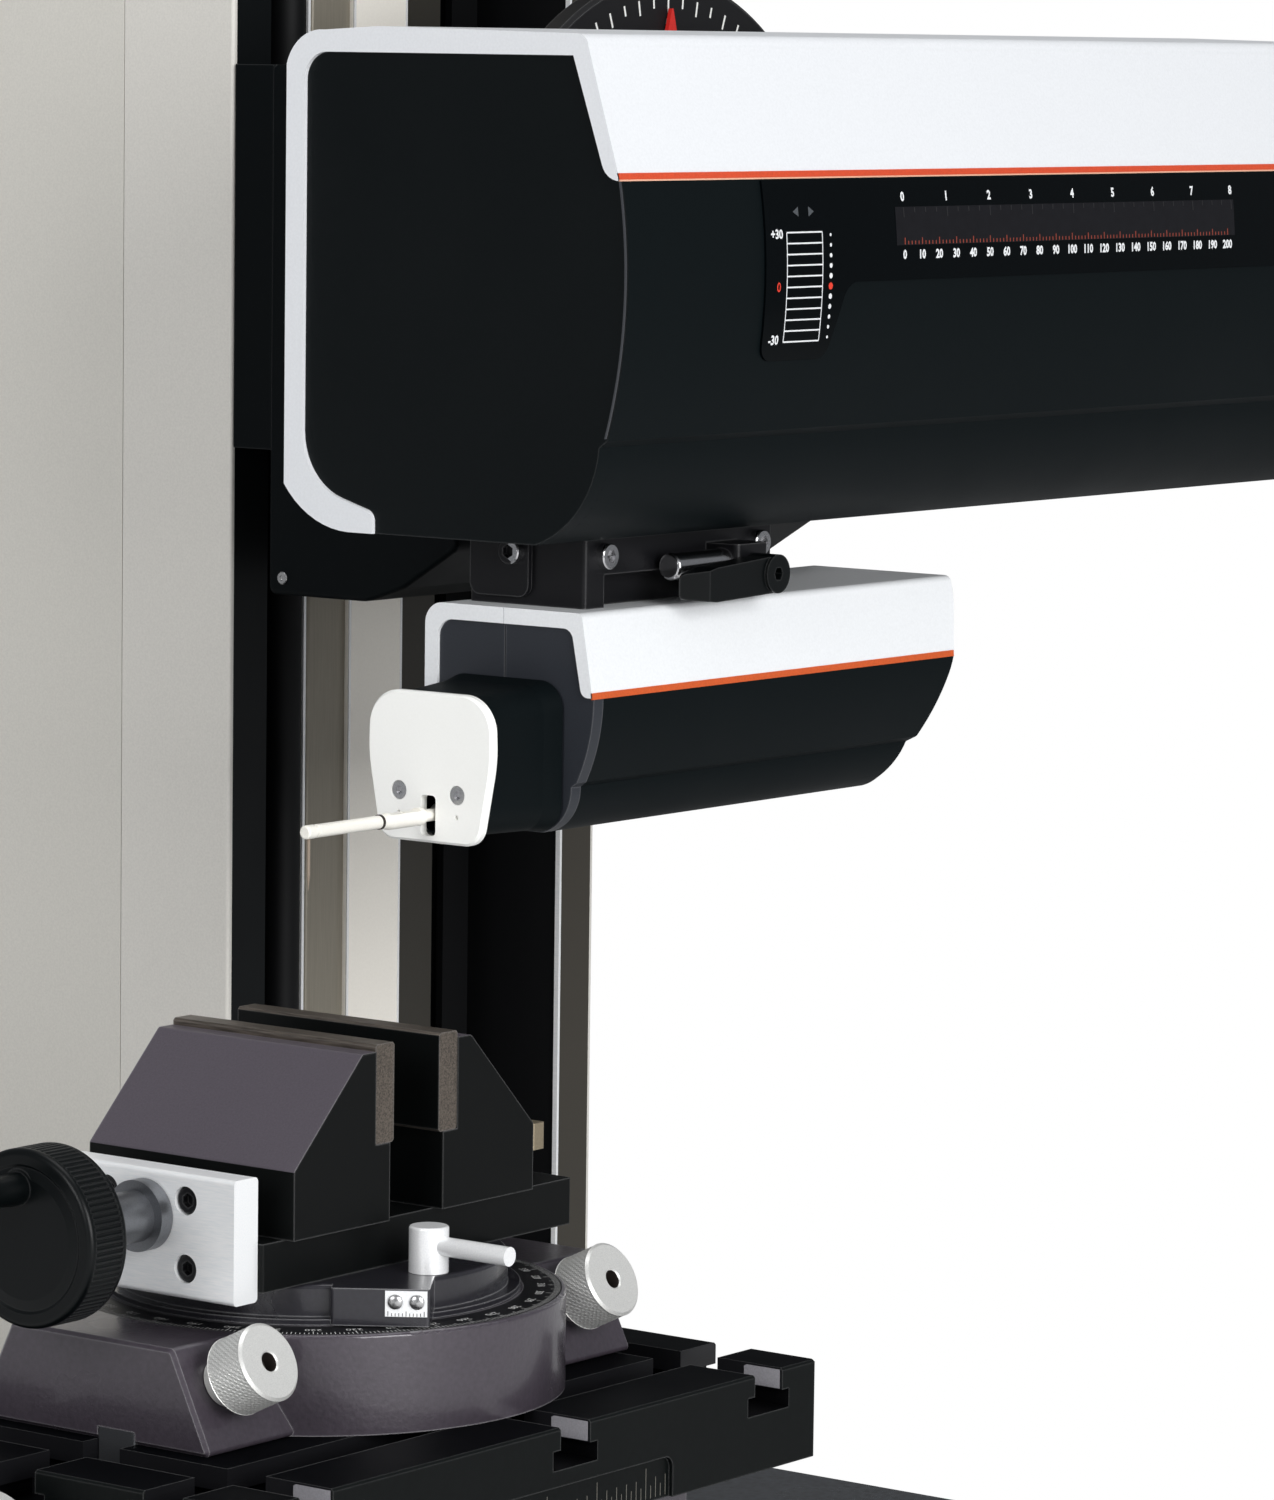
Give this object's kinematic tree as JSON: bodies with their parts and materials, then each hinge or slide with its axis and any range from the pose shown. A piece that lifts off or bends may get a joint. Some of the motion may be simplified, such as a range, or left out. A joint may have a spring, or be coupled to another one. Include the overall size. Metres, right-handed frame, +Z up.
{
  "type": "contour measuring machine",
  "caption": "Contour measuring machine: granite base, column, tilting traverse unit with detector and stylus, cross table and rotary vise.",
  "frame": {"origin": "middle of the granite slab's underside", "axes": "+Z up, +X along the traverse to the right as the operator sees it, +Y to the column at the back"},
  "size_m": [0.756, 0.45, 0.966],
  "materials": {
    "granite": "polished granite, dark",
    "column_light": "satin paint, warm light grey",
    "column_dark": "matte dark paint",
    "trim_alu": "satin anodised",
    "white_shell": "satin white paint",
    "black_shell": "fine matte black paint",
    "disc_grey": "matte dark grey with white graduation",
    "gloss_black": "glossy black",
    "red_pointer": "red paint",
    "steel": "ground steel",
    "steel_dark": "black oxide steel",
    "alu": "satin anodised aluminium",
    "alu_beam": "anodised extrusion",
    "cream_plate": "satin cream paint",
    "arm_light": "light anodised",
    "cast_grey": "satin violet grey paint",
    "table_steel": "scraped and ground grey steel",
    "ring_black": "black with white graduation",
    "knurl": "knurled satin chrome",
    "black_plastic": "matte black"
  },
  "bodies": {
    "stand": {"granite_base": "granite", "column_frame": "column_dark", "column_side_covers": "column_light", "column_rear_cover": "column_light", "column_trims": "trim_alu", "column_cap": "column_light", "guide_beam": "alu_beam", "beam_cover": "white_shell", "guide_rails": "steel", "table_base": "cast_grey"},
    "slider": {"slider_body": "black_shell", "runner_blocks": "steel_dark", "screw_nut": "steel_dark", "tilt_disc": "disc_grey"},
    "lift_screw": {"column_screw": "steel"},
    "traverse": {"drive_beam": "alu_beam", "drive_cover": "white_shell", "drive_housing": "black_shell", "end_frames": "white_shell", "end_panels": "black_shell", "display_panel": "gloss_black", "tilt_spindle": "steel", "angle_pointer": "red_pointer", "drive_rail": "steel"},
    "feed_screw": {"drive_screw": "steel"},
    "probe": {"carriage": "steel_dark", "clamp_block": "steel_dark", "block_plate": "steel_dark", "block_screws": "steel_dark", "clamp_rod": "steel", "detector_housing": "black_shell", "detector_cover": "white_shell", "detector_end_frame": "white_shell", "detector_end_panel": "black_shell", "nose_shroud": "black_shell", "nose_plate": "cream_plate", "nose_screws": "steel_dark"},
    "lever": {"clamp_lever": "black_plastic"},
    "stylus": {"stylus_arm": "arm_light", "stylus_tip": "steel"},
    "saddle": {"table_saddle": "cast_grey"},
    "saddle_dial": {"y_dial": "steel"},
    "table": {"table_top": "table_steel", "vise_base": "cast_grey", "vise_key": "steel", "scale_ring": "ring_black"},
    "table_dial": {"x_dial": "steel"},
    "turning_vise": {"turntable": "cast_grey", "slide_bar": "cast_grey", "end_plate": "alu", "end_plate_screws": "steel_dark"},
    "spindle": {"vise_screw": "steel", "handwheel": "black_plastic"},
    "left_jaw": {"jaw_left": "cast_grey", "jaw_plate_left": "steel"},
    "right_jaw": {"jaw_right": "cast_grey", "jaw_plate_right": "steel"},
    "lock": {"lock_lever": "steel"},
    "left_knob": {"knob_left": "knurl"},
    "right_knob": {"knob_right": "knurl"}
  },
  "joints": [
    {"name": "column_slide", "type": "slide", "parent": "stand", "child": "slider", "axis": [0, 0, 1], "range_m": [0, 0.3]},
    {"name": "lift_screw_turn", "type": "hinge", "parent": "stand", "child": "lift_screw", "pos_m": [0.134, 0.11, 0.12], "axis": [0, 0, 1], "range_deg": [0, 10801]},
    {"name": "traverse_tilt", "type": "hinge", "parent": "slider", "child": "traverse", "pos_m": [0.18, -0.024, 0.546], "axis": [0, 1, 0], "range_deg": [0, 45]},
    {"name": "probe_slide", "type": "slide", "parent": "traverse", "child": "probe", "axis": [1, 0, 0], "range_m": [0, 0.2]},
    {"name": "feed_screw_turn", "type": "hinge", "parent": "traverse", "child": "feed_screw", "pos_m": [0.124, -0.127, 0.494], "axis": [1, 0, 0], "range_deg": [0, 14401]},
    {"name": "clamp_lever_turn", "type": "hinge", "parent": "probe", "child": "lever", "pos_m": [0.0866, -0.142, 0.456], "axis": [0, 1, 0], "range_deg": [-60, 0]},
    {"name": "stylus_pivot", "type": "hinge", "parent": "probe", "child": "stylus", "pos_m": [-0.024, -0.0944, 0.3834], "axis": [0, 1, 0], "range_deg": [-17, 17]},
    {"name": "saddle_slide", "type": "slide", "parent": "stand", "child": "saddle", "axis": [0, 1, 0], "range_m": [-0.025, 0.025]},
    {"name": "saddle_dial_turn", "type": "hinge", "parent": "saddle", "child": "saddle_dial", "pos_m": [-0.1, -0.1955, 0.1485], "axis": [0, -1, 0], "range_deg": [-2251, 2251]},
    {"name": "table_slide", "type": "slide", "parent": "saddle", "child": "table", "axis": [1, 0, 0], "range_m": [-0.05, 0.05]},
    {"name": "table_dial_turn", "type": "hinge", "parent": "table", "child": "table_dial", "pos_m": [-0.25, -0.1055, 0.1835], "axis": [-1, 0, 0], "range_deg": [-4501, 4501]},
    {"name": "vise_turn", "type": "hinge", "parent": "table", "child": "turning_vise", "pos_m": [-0.092, -0.095, 0.2405], "axis": [0, 0, 1], "continuous": true},
    {"name": "right_jaw_slide", "type": "slide", "parent": "turning_vise", "child": "right_jaw", "axis": [1, 0, 0], "range_m": [-0.0108, 0.009]},
    {"name": "left_jaw_slide", "type": "slide", "parent": "turning_vise", "child": "left_jaw", "axis": [-1, 0, 0], "range_m": [-0.0108, 0.009]},
    {"name": "spindle_turn", "type": "hinge", "parent": "turning_vise", "child": "spindle", "pos_m": [-0.172, -0.095, 0.274], "axis": [1, 0, 0], "range_deg": [-1297, 1081]},
    {"name": "lock_lever_turn", "type": "hinge", "parent": "turning_vise", "child": "lock", "pos_m": [-0.1002, -0.148, 0.2525], "axis": [0, 0, 1], "range_deg": [-60, 60]},
    {"name": "left_knob_turn", "type": "hinge", "parent": "table", "child": "left_knob", "pos_m": [-0.18, -0.13315, 0.2285], "axis": [0, -0.899, 0.4379], "continuous": true},
    {"name": "right_knob_turn", "type": "hinge", "parent": "table", "child": "right_knob", "pos_m": [-0.0115, -0.13315, 0.2285], "axis": [0, -0.899, 0.4379], "continuous": true}
  ],
  "couplings": [
    {"joint": "lift_screw_turn", "follows": "column_slide", "rad_per_m": 628.32},
    {"joint": "feed_screw_turn", "follows": "probe_slide", "rad_per_m": 1256.6},
    {"joint": "saddle_dial_turn", "follows": "saddle_slide", "rad_per_m": 1570.8},
    {"joint": "table_dial_turn", "follows": "table_slide", "rad_per_m": 1570.8},
    {"joint": "left_jaw_slide", "follows": "right_jaw_slide", "ratio": 1},
    {"joint": "spindle_turn", "follows": "right_jaw_slide", "rad_per_m": 2094.4}
  ]
}
